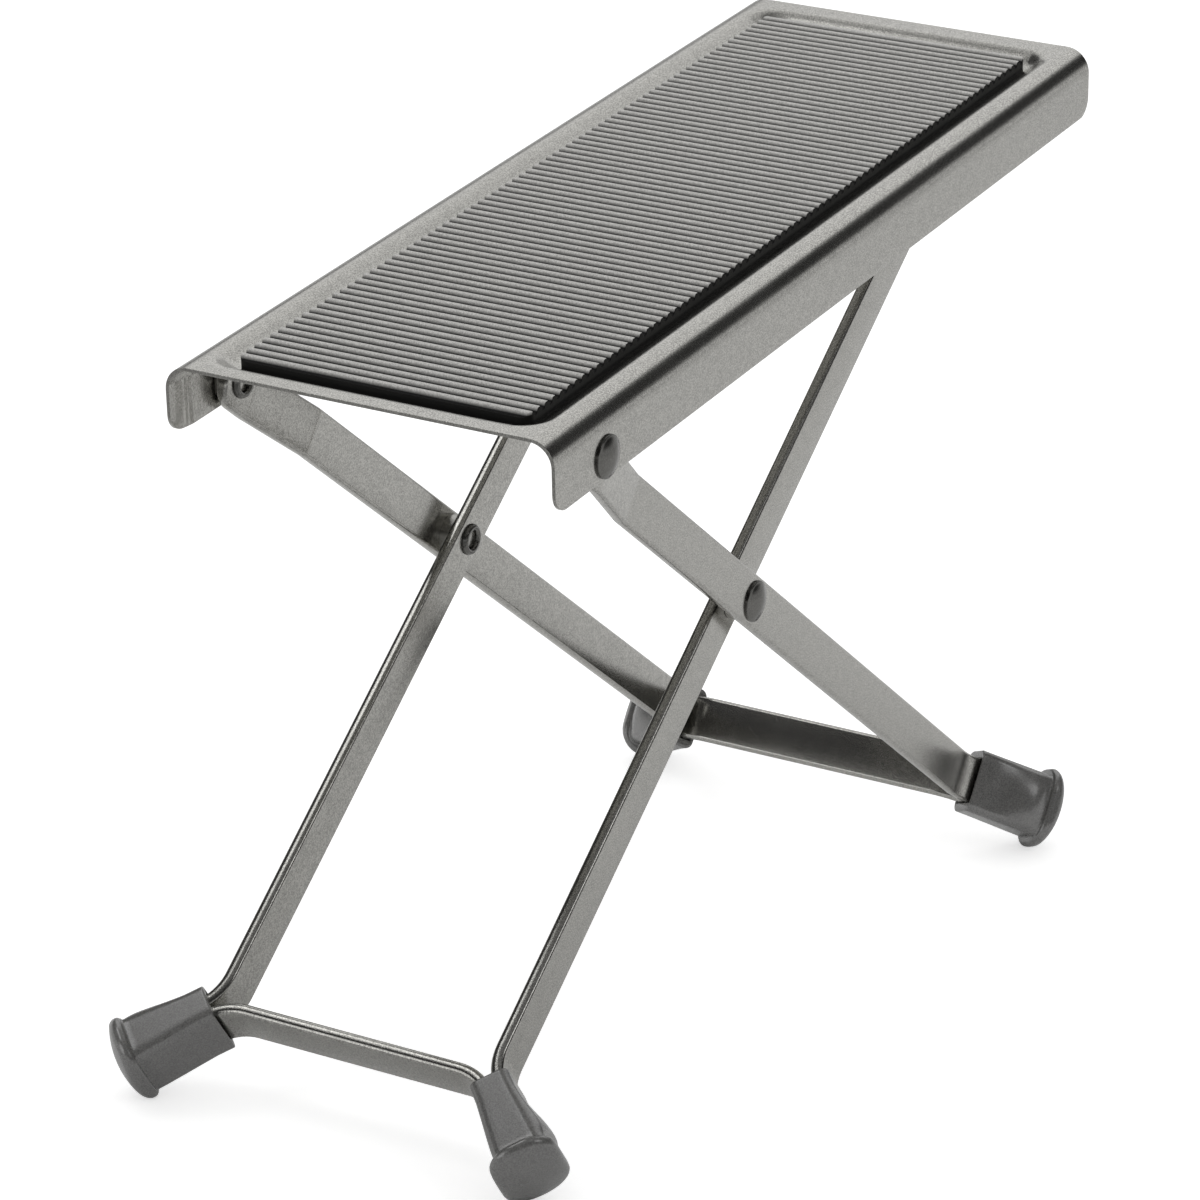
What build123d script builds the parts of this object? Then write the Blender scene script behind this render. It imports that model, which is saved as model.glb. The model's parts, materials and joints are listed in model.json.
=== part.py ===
from build123d import *
import os
from math import atan2, cos, degrees, hypot, radians, sin, sqrt

os.makedirs("parts", exist_ok=True)

# A folding footrest for a seated player. A pressed sheet steel tread carries a ribbed rubber
# mat. Two U-shaped flat bar frames cross below it like scissors. The outer frame turns on two
# rivets near the tread's low end, and the inner frame's rod engages toothed racks under the
# tread. Each corner of a frame is pinched into a double ear that carries a rubber foot.
# All lengths are millimetres and all angles are degrees.

# Tread frame: x runs along the tread from its low end, y to the left, z up from its top face.

# Tread plate
TREAD_LENGTH = 294.0
TREAD_WIDTH = 104.0
FLANGE_DEPTH = 18.0
SHEET = 1.8
BEND_RADIUS = 6.5
FLANGE_CORNER_RADIUS = 5.0
PAN_DEPTH = 3.0
PAN_WALL_RUN = 4.5
PAN_EDGE_ROUND = 1.0

# Ribbed mat
MAT_WIDTH = 77.0
MAT_START = 10.9
MAT_GAP = 0.4
MAT_CORNER_RADIUS = 2.8
RIB_COUNT = 78
RIB_PITCH = 3.47
RIB_HEIGHT = 1.1
RIB_FOOT_WIDTH = 2.4
RIB_TOP_WIDTH = 1.0
MAT_PROUD = 0.2

# Flat bar frames
BAR_WIDTH = 12.7
BAR_THICKNESS = 3.2
BAR_EDGE_ROUND = 0.8
OUTER_HALF_WIDTH = 45.4
FRAME_SPACING = 2.6
OUTER_ANGLE = 40.5
INNER_ANGLE = 32.84
PIVOT_X = 24.0
PIVOT_DEPTH = 12.6
PIVOT_ABOVE_LEG_MIDDLE = 1.1
PIVOT_TO_CROSSING = 113.2
CROSSING_TO_OUTER_BAR = 171.0
CROSSING_TO_INNER_BAR = 145.0
JOGGLE_START = 7.0
JOGGLE_LENGTH = 25.0
JOGGLE_RADIUS = 9.0
EAR_BEND_RADIUS = 14.0
EAR_FOLD_GAP = 0.3
EAR_REACH = 17.4

# Rubber feet, measured along the ear's axis from the frame's outer corner
FOOT_MOUTH = -0.8
FOOT_SHOULDER = 4.0
FOOT_NECK = 20.8
FOOT_HEIGHT = 17.8
FOOT_THICKNESS = 10.2
FOOT_NECK_THICKNESS = 12.6
FOOT_CORNER_RADIUS = 2.2
FOOT_FLARE_DEPTH = 5.0
FOOT_FLARE_WIDTH = 8.8
CAP_HEIGHT = 22.8
CAP_THICKNESS = 17.0
CAP_CORNER_RADIUS = 7.0
CAP_RIM = 2.6
CAP_DOME = 3.0
CAP_EDGE_ROUND = 1.2
CONTACT_FLAT_DEPTH = 0.4

# Rivets and washers
RIVET_RADIUS = 3.0
RIVET_HEAD_RADIUS = 5.3
RIVET_HEAD_RIM = 0.7
RIVET_HEAD_HEIGHT = 2.2
RIVET_BORE_RADIUS = 2.2
RIVET_BORE_DEPTH = 5.0
RIVET_ROLL_RADIUS = 4.1
RIVET_ROLL_HEIGHT = 1.2
PIVOT_WASHER = 0.5
WASHER_RADIUS = 5.6

# Lock rod and its racks
ROD_RADIUS = 3.0
TENON_RADIUS = 2.2
TENON_HEAD_RADIUS = 3.4
TENON_HEAD_HEIGHT = 0.9
ROD_WASHER = 0.8
ROD_WASHER_RADIUS = 4.8
RACK_INSET = 6.0
RACK_SHEET = 1.8
RACK_FLANGE_WIDTH = 9.0
NOTCH_COUNT = 5
NOTCH_PITCH = 11.0
NOTCH_RADIUS = 3.1
NOTCH_RAMP = 3.4
RACK_END = 9.0

# Clearances
RUNNING_GAP = 0.06
TIGHT_GAP = 0.02
THRUST_PLAY = 0.1
POCKET_GAP = 0.1
ROD_CLEARANCE = 0.3
OVERRUN = 1.0

# Rounds of the search for the tread's tilt, in which both pairs of feet touch the floor
SETTLING_ROUNDS = 8

# Places that follow from the sizes above
inner_half_width = OUTER_HALF_WIDTH - BAR_THICKNESS - FRAME_SPACING
flange_inside = TREAD_WIDTH / 2 - SHEET
pivot_half_width = flange_inside - PIVOT_WASHER - THRUST_PLAY
mat_length = RIB_COUNT * RIB_PITCH
pan_floor = -PAN_DEPTH
pan_underside = pan_floor - SHEET

# Each frame is drawn flat in its own plane: x runs down the leg from the crossing, y to the left.
outer_down = Vector(cos(radians(OUTER_ANGLE)), 0, -sin(radians(OUTER_ANGLE)))
inner_down = Vector(-cos(radians(INNER_ANGLE)), 0, -sin(radians(INNER_ANGLE)))
left = Vector(0, 1, 0)
pivot = Vector(PIVOT_X, 0, -PIVOT_DEPTH)
leg_middle = pivot - outer_down.cross(left) * PIVOT_ABOVE_LEG_MIDDLE
crossing = leg_middle + outer_down * PIVOT_TO_CROSSING
crossing_to_rod = (pivot.Z - crossing.Z) / sin(radians(INNER_ANGLE))
fold_angle = degrees(atan2(pivot.Z - crossing.Z, crossing.X - pivot.X))
rod_x = crossing.X + crossing_to_rod * cos(radians(INNER_ANGLE))
outer_plane = Plane(origin=crossing, x_dir=outer_down, z_dir=outer_down.cross(left))
inner_plane = Plane(origin=crossing, x_dir=inner_down, z_dir=inner_down.cross(left))
outer_body = outer_plane.location
inner_body = inner_plane.location


def cross_cylinder(radius, x, z, half_length):
    """A cylinder along y through (x, z), as long on both sides."""
    return Pos(x, 0, z) * Rot(90, 0, 0) * Cylinder(radius, 2 * half_length)


def dome_arc(edge, base, height):
    """The arc in a revolved outline from a rim point up to the axis, level at the top."""
    radius = (edge**2 + height**2) / (2 * height)
    middle = base + height - radius + sqrt(radius**2 - edge**2 / 4)
    return ThreePointArc((edge, base), (edge / 2, middle), (0, base + height))


def facing(y, side):
    """Place a piece drawn along +z so that its z axis points outward, along side * y."""
    return Pos(0, side * y, 0) * Rot(-90 * side, 0, 0)


# Tread


def pan_shape():
    """The tapered pocket that the mat lies in, from the top face down to the pan's floor."""
    middle = MAT_START + mat_length / 2
    floor_size = (mat_length + 2 * MAT_GAP, MAT_WIDTH + 2 * MAT_GAP)
    mouth_size = (floor_size[0] + 2 * PAN_WALL_RUN, floor_size[1] + 2 * PAN_WALL_RUN)
    floor_radius = MAT_CORNER_RADIUS + MAT_GAP
    mouth = Pos(middle, 0, 0) * RectangleRounded(*mouth_size, floor_radius + PAN_WALL_RUN)
    floor = Pos(middle, 0, pan_floor) * RectangleRounded(*floor_size, floor_radius)
    pocket = loft([floor, mouth], ruled=True)
    return fillet(pocket.edges().group_by(Axis.Z)[0], PAN_EDGE_ROUND)


def channel():
    """The bent sheet: a flat top with a flange down each long side, open at both ends."""
    outside = Rectangle(TREAD_WIDTH, FLANGE_DEPTH, align=(Align.CENTER, Align.MAX))
    outside = fillet(outside.vertices().group_by(Axis.Y)[-1], BEND_RADIUS)
    inside_size = (TREAD_WIDTH - 2 * SHEET, FLANGE_DEPTH + OVERRUN)
    inside = Pos(0, -SHEET) * Rectangle(*inside_size, align=(Align.CENTER, Align.MAX))
    inside = fillet(inside.vertices().group_by(Axis.Y)[-1], BEND_RADIUS - SHEET)
    section = Plane(origin=(0, 0, 0), x_dir=(0, 1, 0), z_dir=(1, 0, 0)) * (outside - inside)
    sheet = extrude(section, TREAD_LENGTH)
    side_size = (TREAD_LENGTH, 2 * FLANGE_DEPTH)
    side_view = Pos(TREAD_LENGTH / 2, 0) * RectangleRounded(*side_size, FLANGE_CORNER_RADIUS)
    trim = extrude(Plane.XZ * side_view, TREAD_WIDTH / 2 + OVERRUN, both=True)
    return sheet & trim


def tread_plate():
    pocket = pan_shape()
    plate = channel() + Pos(0, 0, -SHEET) * pocket
    hole_reach = TREAD_WIDTH / 2 + OVERRUN
    hole = cross_cylinder(RIVET_RADIUS + TIGHT_GAP, PIVOT_X, -PIVOT_DEPTH, hole_reach)
    return plate - pocket - hole


def tread_mat():
    """A slab with a row of ribs across it. One outline along x holds every rib."""
    groove = MAT_PROUD - RIB_HEIGHT
    foot_half = RIB_FOOT_WIDTH / 2
    top_half = RIB_TOP_WIDTH / 2
    rib = ((-foot_half, groove), (-top_half, MAT_PROUD), (top_half, MAT_PROUD), (foot_half, groove))
    centres = [MAT_START + (k + 0.5) * RIB_PITCH for k in range(RIB_COUNT)]
    ribs = [(centre + dx, z) for centre in centres for dx, z in rib]
    end = MAT_START + mat_length
    outline = [(MAT_START, pan_floor), (MAT_START, groove), *ribs, (end, groove), (end, pan_floor)]
    slab = extrude(Plane.XZ * make_face(Polyline(*outline, close=True)), MAT_WIDTH / 2, both=True)
    plan = RectangleRounded(mat_length, MAT_WIDTH, MAT_CORNER_RADIUS)
    middle = Pos(MAT_START + mat_length / 2, 0, 0)
    return slab & middle * extrude(plan, PAN_DEPTH + OVERRUN, both=True)


def rack(side):
    """An angle of sheet under the tread whose web has a row of ramped notches for the rod."""
    tips = -PIVOT_DEPTH + ROD_RADIUS + ROD_CLEARANCE
    start = rod_x - NOTCH_RADIUS - NOTCH_RAMP - RACK_END
    end = rod_x + (NOTCH_COUNT - 1) * NOTCH_PITCH + NOTCH_RADIUS + RACK_END
    web = Pos(start, tips) * Rectangle(end - start, pan_underside - tips, align=Align.MIN)
    for k in range(NOTCH_COUNT):
        notch_x = rod_x + k * NOTCH_PITCH
        ramp_foot = (notch_x - NOTCH_RADIUS - NOTCH_RAMP, tips)
        ramp_top = (notch_x, tips + NOTCH_RADIUS)
        web -= make_face(Polyline(ramp_foot, ramp_top, (notch_x, tips), close=True))
        web -= Pos(notch_x, tips) * Circle(NOTCH_RADIUS)
    outer_face = inner_half_width - BAR_THICKNESS - RACK_INSET
    web_solid = Pos(0, outer_face, 0) * extrude(Plane.XZ * web, RACK_SHEET)
    flange_align = (Align.MIN, Align.MAX, Align.MAX)
    flange = Box(end - start, RACK_FLANGE_WIDTH, RACK_SHEET, align=flange_align)
    angle = web_solid + Pos(start, outer_face, pan_underside) * flange
    return angle if side > 0 else mirror(angle, about=Plane.XZ)


# Frames


def ear_path(half_width, bar_reach, leg_points, leg_radii):
    """One half of a frame's centre line: down the leg, out along the ear, back and to the middle."""
    leg_y = half_width - BAR_THICKNESS / 2
    bar_x = bar_reach - BAR_THICKNESS / 2
    offset = (BAR_THICKNESS + EAR_FOLD_GAP) / 2
    corner = Vector(bar_reach, half_width)
    along = Vector(1, 1) / sqrt(2)
    aside = Vector(-1, 1) / sqrt(2)
    straight = EAR_REACH - offset - BAR_THICKNESS / 2
    fold_start = corner + along * straight + aside * offset
    fold_end = corner + along * straight - aside * offset
    tip = corner + along * (straight + offset)
    leg_corner = (bar_x - sqrt(2) * offset, leg_y)
    bar_corner = (bar_x, leg_y - sqrt(2) * offset)
    leg = FilletPolyline(*leg_points, leg_corner, fold_start, radius=[*leg_radii, EAR_BEND_RADIUS])
    fold = ThreePointArc(fold_start, tip, fold_end)
    bar = FilletPolyline(fold_end, bar_corner, (bar_x, 0), radius=EAR_BEND_RADIUS)
    return leg, fold, bar


def bent_bar(half):
    """Sweep the flat bar's section along a half path and its mirror image."""
    other = [mirror(part, about=Plane.XZ) for part in half]
    path = Wire([edge for part in (*half, *other) for edge in part.edges()])
    start = half[0] @ 0
    section_plane = Plane(origin=start, x_dir=(0, 0, 1), z_dir=(1, 0, 0))
    section = section_plane * RectangleRounded(BAR_WIDTH, BAR_THICKNESS, BAR_EDGE_ROUND)
    return sweep(section, path=path)


def round_ends(bar, reach, half_width):
    """Round both leg ends about a hole whose centre is reach above the crossing."""
    length = BAR_WIDTH + OVERRUN
    block_size = (length, 2 * (half_width + OVERRUN), length)
    block = Pos(-reach, 0, 0) * Box(*block_size, align=(Align.MAX, Align.CENTER, Align.CENTER))
    keep = cross_cylinder(BAR_WIDTH / 2, -reach, 0, half_width + 2 * OVERRUN)
    return bar - (block - keep)


def outer_frame():
    top = -PIVOT_TO_CROSSING
    top_y = pivot_half_width - BAR_THICKNESS / 2
    leg_y = OUTER_HALF_WIDTH - BAR_THICKNESS / 2
    joggle_end = top + JOGGLE_START + JOGGLE_LENGTH
    points = [(top - BAR_WIDTH, top_y), (top + JOGGLE_START, top_y), (joggle_end, leg_y)]
    radii = [JOGGLE_RADIUS, JOGGLE_RADIUS]
    half = ear_path(OUTER_HALF_WIDTH, CROSSING_TO_OUTER_BAR, points, radii)
    bar = round_ends(bent_bar(half), PIVOT_TO_CROSSING, pivot_half_width)
    hole_radius = RIVET_RADIUS + RUNNING_GAP
    pivot_hole = cross_cylinder(hole_radius, top, PIVOT_ABOVE_LEG_MIDDLE, TREAD_WIDTH)
    return bar - pivot_hole - cross_cylinder(RIVET_RADIUS + TIGHT_GAP, 0, 0, TREAD_WIDTH)


def inner_frame():
    leg_y = inner_half_width - BAR_THICKNESS / 2
    leg_top = (-crossing_to_rod - BAR_WIDTH, leg_y)
    half = ear_path(inner_half_width, CROSSING_TO_INNER_BAR, [leg_top], [])
    bar = round_ends(bent_bar(half), crossing_to_rod, inner_half_width)
    rod_hole = cross_cylinder(TENON_RADIUS + TIGHT_GAP, -crossing_to_rod, 0, TREAD_WIDTH)
    return bar - rod_hole - cross_cylinder(RIVET_RADIUS + RUNNING_GAP, 0, 0, TREAD_WIDTH)


# Feet


def foot_cap():
    """The mushroom end: a rounded rectangle whose outer face belongs to a large ball."""
    half = CAP_HEIGHT / 2
    ball_radius = (half**2 + CAP_DOME**2) / (2 * CAP_DOME)
    edge = hypot(CAP_THICKNESS, CAP_HEIGHT) / 2
    dome_height = ball_radius - sqrt(ball_radius**2 - edge**2)
    dome_base = FOOT_NECK + CAP_RIM + CAP_DOME - dome_height
    wall = Polyline((0, FOOT_NECK), (edge, FOOT_NECK), (edge, dome_base))
    dome = dome_arc(edge, dome_base, dome_height)
    outline = make_face(wall + dome + Line(dome @ 1, wall @ 0))
    button = Rot(0, 90, 0) * revolve(Plane.XZ * outline, Axis.Z)
    side = RectangleRounded(CAP_THICKNESS, CAP_HEIGHT, CAP_CORNER_RADIUS)
    across = Plane(origin=(0, 0, 0), x_dir=(0, 1, 0), z_dir=(1, 0, 0))
    cap = button & extrude(across * side, 2 * CAP_HEIGHT)
    return fillet(cap.edges().filter_by(Axis.X, reverse=True), CAP_EDGE_ROUND)


def foot():
    """A rubber foot along its own x axis: a box sleeve with a pocket for the ear, and a cap."""
    across = Plane(origin=(0, 0, 0), x_dir=(0, 1, 0), z_dir=(1, 0, 0))
    mouth = across * RectangleRounded(FOOT_THICKNESS, FOOT_HEIGHT, FOOT_CORNER_RADIUS)
    neck = across * RectangleRounded(FOOT_NECK_THICKNESS, FOOT_HEIGHT, FOOT_CORNER_RADIUS)
    sleeve = Pos(FOOT_MOUTH, 0, 0) * extrude(mouth, FOOT_SHOULDER - FOOT_MOUTH)
    swell = loft([Pos(FOOT_SHOULDER, 0, 0) * mouth, Pos(FOOT_NECK, 0, 0) * neck], ruled=True)
    pocket_width = 2 * BAR_THICKNESS + EAR_FOLD_GAP + 2 * POCKET_GAP
    pocket_height = BAR_WIDTH + 2 * POCKET_GAP
    slot = across * Rectangle(pocket_width, pocket_height)
    wide_slot = across * Rectangle(FOOT_FLARE_WIDTH, pocket_height)
    flare_end = FOOT_MOUTH + FOOT_FLARE_DEPTH
    pocket = Pos(FOOT_MOUTH, 0, 0) * extrude(slot, EAR_REACH + POCKET_GAP - FOOT_MOUTH)
    flare = loft([Pos(FOOT_MOUTH, 0, 0) * wide_slot, Pos(flare_end, 0, 0) * slot], ruled=True)
    return sleeve + swell + foot_cap() - pocket - flare


def foot_place(half_width, bar_reach, side):
    """The ear's axis in its frame's plane, from the frame's outer corner outward."""
    corner = (bar_reach, side * half_width, 0)
    return Plane(origin=corner, x_dir=(1, side, 0), z_dir=(0, 0, 1)).location


def outer_foot_place(side):
    return outer_body * foot_place(OUTER_HALF_WIDTH, CROSSING_TO_OUTER_BAR, side)


def inner_foot_place(side):
    return inner_body * foot_place(inner_half_width, CROSSING_TO_INNER_BAR, side)


# Rivets, washers and the lock rod


def rivet(grip):
    """A semi-tubular rivet along z: a domed head above z = 0 and a shank with a rolled end."""
    roll_top = -grip
    roll_end = roll_top - RIVET_ROLL_HEIGHT
    roll_middle = (RIVET_BORE_RADIUS + RIVET_ROLL_RADIUS) / 2
    bore_floor = roll_end + RIVET_BORE_DEPTH
    rim_foot = (RIVET_HEAD_RADIUS, 0)
    rolled_edge = (RIVET_ROLL_RADIUS, roll_top)
    bore_edge = (RIVET_BORE_RADIUS, roll_top)
    crown = dome_arc(RIVET_HEAD_RADIUS, RIVET_HEAD_RIM, RIVET_HEAD_HEIGHT - RIVET_HEAD_RIM)
    shank = Polyline(crown @ 0, rim_foot, (RIVET_RADIUS, 0), (RIVET_RADIUS, roll_top), rolled_edge)
    roll = ThreePointArc(rolled_edge, (roll_middle, roll_end), bore_edge)
    bore = Polyline(bore_edge, (RIVET_BORE_RADIUS, bore_floor), (0, bore_floor), crown @ 1)
    return revolve(Plane.XZ * make_face(crown + shank + roll + bore), Axis.Z)


def washer(outer_radius, shank_radius, thickness):
    """A flat ring from z = 0 down, snug on a shank."""
    return extrude(Circle(outer_radius) - Circle(shank_radius + TIGHT_GAP), -thickness)


def rivet_washer(thickness):
    return washer(WASHER_RADIUS, RIVET_RADIUS, thickness)


def lock_rod():
    """The rod between the inner frame's legs: shoulders inside them, tenons peened outside."""
    shoulder = inner_half_width - BAR_THICKNESS
    tenon_end = inner_half_width + ROD_WASHER
    rod = Cylinder(ROD_RADIUS, 2 * shoulder) + Cylinder(TENON_RADIUS, 2 * tenon_end)
    upright = (Align.CENTER, Align.CENTER, Align.MIN)
    peen = Cylinder(TENON_HEAD_RADIUS, TENON_HEAD_HEIGHT, align=upright)
    peen = fillet(peen.edges().group_by(Axis.Z)[-1], TENON_HEAD_HEIGHT / 2)
    end = Pos(0, 0, tenon_end) * peen
    return rod + end + mirror(end, about=Plane.XY)


# Assembly in the tread frame

pivot_place = Pos(*pivot)
crossing_place = Pos(*crossing)
rod_place = Pos(rod_x, 0, -PIVOT_DEPTH)

nodes = {"tread_plate": tread_plate(), "tread_mat": tread_mat()}
nodes["outer_frame"] = outer_body * outer_frame()
nodes["inner_frame"] = inner_body * inner_frame()
nodes["lock_rod"] = rod_place * Rot(90, 0, 0) * lock_rod()

pivot_grip = SHEET + PIVOT_WASHER + BAR_THICKNESS + 2 * THRUST_PLAY
crossing_grip = 2 * BAR_THICKNESS + FRAME_SPACING + THRUST_PLAY
one_foot = foot()
for side, hand in ((1, "left"), (-1, "right")):
    pivot_head = pivot_place * facing(TREAD_WIDTH / 2, side)
    pivot_face = pivot_place * facing(flange_inside, side)
    crossing_head = crossing_place * facing(OUTER_HALF_WIDTH, side)
    crossing_face = crossing_place * facing(OUTER_HALF_WIDTH - BAR_THICKNESS, side)
    rod_face = rod_place * facing(inner_half_width + ROD_WASHER, side)
    nodes[f"{hand}_rack"] = rack(side)
    nodes[f"{hand}_pivot_rivet"] = pivot_head * rivet(pivot_grip)
    nodes[f"{hand}_pivot_washer"] = pivot_face * rivet_washer(PIVOT_WASHER)
    nodes[f"{hand}_crossing_rivet"] = crossing_head * rivet(crossing_grip)
    nodes[f"{hand}_crossing_spacer"] = crossing_face * rivet_washer(FRAME_SPACING - THRUST_PLAY)
    nodes[f"{hand}_rod_washer"] = rod_face * washer(ROD_WASHER_RADIUS, TENON_RADIUS, ROD_WASHER)
    nodes[f"outer_{hand}_foot"] = outer_foot_place(side) * one_foot
    nodes[f"inner_{hand}_foot"] = inner_foot_place(side) * one_foot


# Standing on the floor


def levelled(name, tilt):
    """The box around a node once the tread is turned up by tilt."""
    return (Rot(0, -tilt, 0) * nodes[name]).bounding_box()


# The floor touches both pairs of feet. A few rounds settle the angle between tread and floor.
tilt = 0
for _ in range(SETTLING_ROUNDS):
    rear = levelled("outer_left_foot", tilt)
    front = levelled("inner_left_foot", tilt)
    wheelbase = rear.center().X - front.center().X
    tilt += degrees(atan2(front.min.Z - rear.min.Z, wheelbase))

level = Rot(0, -tilt, 0)
standing = {name: level * node for name, node in nodes.items()}
box = Compound(children=list(standing.values())).bounding_box()
place = Pos(-box.center().X, 0, -CONTACT_FLAT_DEPTH - box.min.Z) * level
ground_size = 2 * TREAD_LENGTH
ground = Box(ground_size, ground_size, ground_size, align=(Align.CENTER, Align.CENTER, Align.MAX))

for name, node in nodes.items():
    placed = place * node
    if name.endswith("foot"):
        placed = placed - ground
        sole = placed.faces().filter_by(GeomType.PLANE).sort_by(Axis.Z)[0].center()
        print(name, "stands at", [round(value, 2) for value in sole])
    export_step(placed, f"parts/{name}.step")

print("tread tilt", round(tilt, 4), "tread origin", [round(v, 4) for v in place.position])
print("coupling", round((fold_angle + INNER_ANGLE) / fold_angle, 6))
for label, point in (("pivot", pivot_place), ("crossing", crossing_place), ("rod", rod_place)):
    print(label, [round(value, 4) for value in (place * point).position])
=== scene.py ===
import json
from math import cos, pi, radians, sin, sqrt, tan

import bmesh
import bpy
import numpy as np
from mathutils import Matrix, Vector


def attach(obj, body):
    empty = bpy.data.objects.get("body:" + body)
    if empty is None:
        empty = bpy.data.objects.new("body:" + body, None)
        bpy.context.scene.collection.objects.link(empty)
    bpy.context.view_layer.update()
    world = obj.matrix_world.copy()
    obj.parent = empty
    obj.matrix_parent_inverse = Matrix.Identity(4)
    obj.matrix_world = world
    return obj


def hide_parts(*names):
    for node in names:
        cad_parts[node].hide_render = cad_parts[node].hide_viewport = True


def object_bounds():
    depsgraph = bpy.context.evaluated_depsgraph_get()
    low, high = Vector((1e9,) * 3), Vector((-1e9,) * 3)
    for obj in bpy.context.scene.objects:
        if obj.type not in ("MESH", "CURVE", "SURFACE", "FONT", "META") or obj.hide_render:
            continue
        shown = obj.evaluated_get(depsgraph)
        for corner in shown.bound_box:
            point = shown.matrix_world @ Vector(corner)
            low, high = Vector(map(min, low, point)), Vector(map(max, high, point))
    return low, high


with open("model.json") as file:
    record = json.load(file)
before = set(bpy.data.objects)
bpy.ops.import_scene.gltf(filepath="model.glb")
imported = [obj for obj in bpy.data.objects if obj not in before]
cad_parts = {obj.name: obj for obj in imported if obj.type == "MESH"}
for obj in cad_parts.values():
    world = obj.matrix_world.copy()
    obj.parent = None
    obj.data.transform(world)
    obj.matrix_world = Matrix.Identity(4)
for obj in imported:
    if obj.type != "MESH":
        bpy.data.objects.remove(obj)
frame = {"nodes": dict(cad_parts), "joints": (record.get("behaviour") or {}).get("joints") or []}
cad_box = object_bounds()
nodes = frame["nodes"]
joints = {joint["name"]: np.array(joint["pos_m"]) for joint in frame["joints"]}
MM = 0.001

# Sizes in millimetres. They are the solids' own, down to the block that follows the photograph.

# Tread plate, measured along it from its low end
TREAD_LENGTH = 294.0
TREAD_WIDTH = 104.0
FLANGE_DEPTH = 18.0
SHEET = 1.8
BEND_RADIUS = 6.5
FLANGE_CORNER_RADIUS = 5.0
PAN_DEPTH = 3.0

# Ribbed mat
MAT_START = 10.9
MAT_GAP = 0.4
MAT_CORNER_RADIUS = 2.8
RIB_COUNT = 78
RIB_PITCH = 3.47
RIB_HEIGHT = 1.1
RIB_FOOT_WIDTH = 2.4
RIB_TOP_WIDTH = 1.0
MAT_LENGTH = RIB_COUNT * RIB_PITCH

# Flat bar frames, measured from the crossing down each leg
BAR_WIDTH = 12.7
BAR_THICKNESS = 3.2
OUTER_HALF_WIDTH = 45.4
FRAME_SPACING = 2.6
INNER_HALF_WIDTH = OUTER_HALF_WIDTH - BAR_THICKNESS - FRAME_SPACING
PIVOT_TO_CROSSING = 113.2
CROSSING_TO_ROD = 137.11
CROSSING_TO_OUTER_BAR = 171.0
CROSSING_TO_INNER_BAR = 145.0
PIVOT_HALF_WIDTH = 49.6
JOGGLE_START = 7.0
JOGGLE_LENGTH = 25.0
JOGGLE_RADIUS = 9.0
EAR_BEND_RADIUS = 14.0
EAR_FOLD_GAP = 0.3
EAR_REACH = 17.4

# Rubber feet, measured along the ear from the frame's corner
FOOT_MOUTH = -0.8
FOOT_SHOULDER = 4.0
FOOT_NECK = 20.8
FOOT_HEIGHT = 17.8
FOOT_THICKNESS = 10.2
FOOT_NECK_THICKNESS = 12.6
FOOT_CORNER_RADIUS = 2.2
FOOT_FLARE_DEPTH = 5.0
FOOT_FLARE_WIDTH = 8.8
POCKET_GAP = 0.1
CAP_HEIGHT = 22.8
CAP_THICKNESS = 17.0
CAP_CORNER_RADIUS = 7.0
CAP_RIM = 2.6
CAP_DOME = 3.0
CAP_EDGE_ROUND = 1.2
BALL_RADIUS = ((CAP_HEIGHT / 2) ** 2 + CAP_DOME**2) / (2 * CAP_DOME)

# Rivets
RIVET_RADIUS = 3.0
RIVET_HEAD_RADIUS = 5.3
RIVET_HEAD_RIM = 0.7
RIVET_HEAD_HEIGHT = 2.2
RIVET_BORE_RADIUS = 2.2
RIVET_BORE_DEPTH = 5.0
RIVET_ROLL_RADIUS = 4.1
RIVET_ROLL_HEIGHT = 1.2
PIVOT_GRIP = 5.7
CROSSING_GRIP = 9.1

# Where the scene follows the photograph more closely than the solids do
PAN_WALL_RUN = 6.3
SHEET_EDGE_ROUND = 0.3
SHEET_END_SHARE = 0.5
SHEET_END_EDGE = 2.0
SHEET_END_RUN = 7.0
MAT_WIDTH = 78.2
MAT_PROUD = 0.4
MAT_EDGE_ROUND = 0.35
RIB_CROWN = 0.06
BAR_EDGE_ROUND = 1.4
BAR_EDGE_CROWN = 1.0
FOOT_LIP_ROUND = 0.35
FOOT_LIP_WALL = 0.1
FOOT_MOUTH_CORNER = 0.3
FOOT_POCKET_CORNER = 0.2
FOOT_NECK_ROUND = 0.5
FOOT_BULGE_BY_LEG = 2.4
FOOT_BULGE_BY_BAR = 0.5
FOOT_BULGE_TURN = 0.62
FOOT_BULGE_END = 0.15
FOOT_BULGE_END_FALL = 0.5
RIVET_EDGE_ROUND = 0.3

# Mesh steps. Points are merged within a distance in metres. A leg's end stops just short of its
# tip, where the bar would have no width.
MERGE_DISTANCE = 2e-6
SHEET_END_LEVELS = 8
LEG_TIP_SHARE = 0.999
RIB_STEPS = (-1.735, -1.45, -1.2, -1.08, -0.9, -0.7, -0.56, -0.46, -0.3, 0.0,
             0.3, 0.46, 0.56, 0.7, 0.9, 1.08, 1.2, 1.45)
FOOT_SLEEVE_START = 0.0
FOOT_ARC_STEPS = 9
FOOT_SIDE_STEPS = 6

# Places. An angle is how far a piece's own long way is turned up from X, in degrees.
TREAD_ANGLE = 7.0896
OUTER_ANGLE = TREAD_ANGLE - 40.5
INNER_ANGLE = TREAD_ANGLE + 32.84 + 180
PIVOT_ON_TREAD = np.array((24.0, 0.0, -12.6))


def to_row(points, angle, origin):
    """Row position = origin + x * (cos a, 0, sin a) + y * (0, 1, 0) + z * (-sin a, 0, cos a)."""
    a = radians(angle)
    axes = np.array(((cos(a), 0, sin(a)), (0, 1, 0), (-sin(a), 0, cos(a))))
    return np.asarray(points) * MM @ axes + origin


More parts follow.
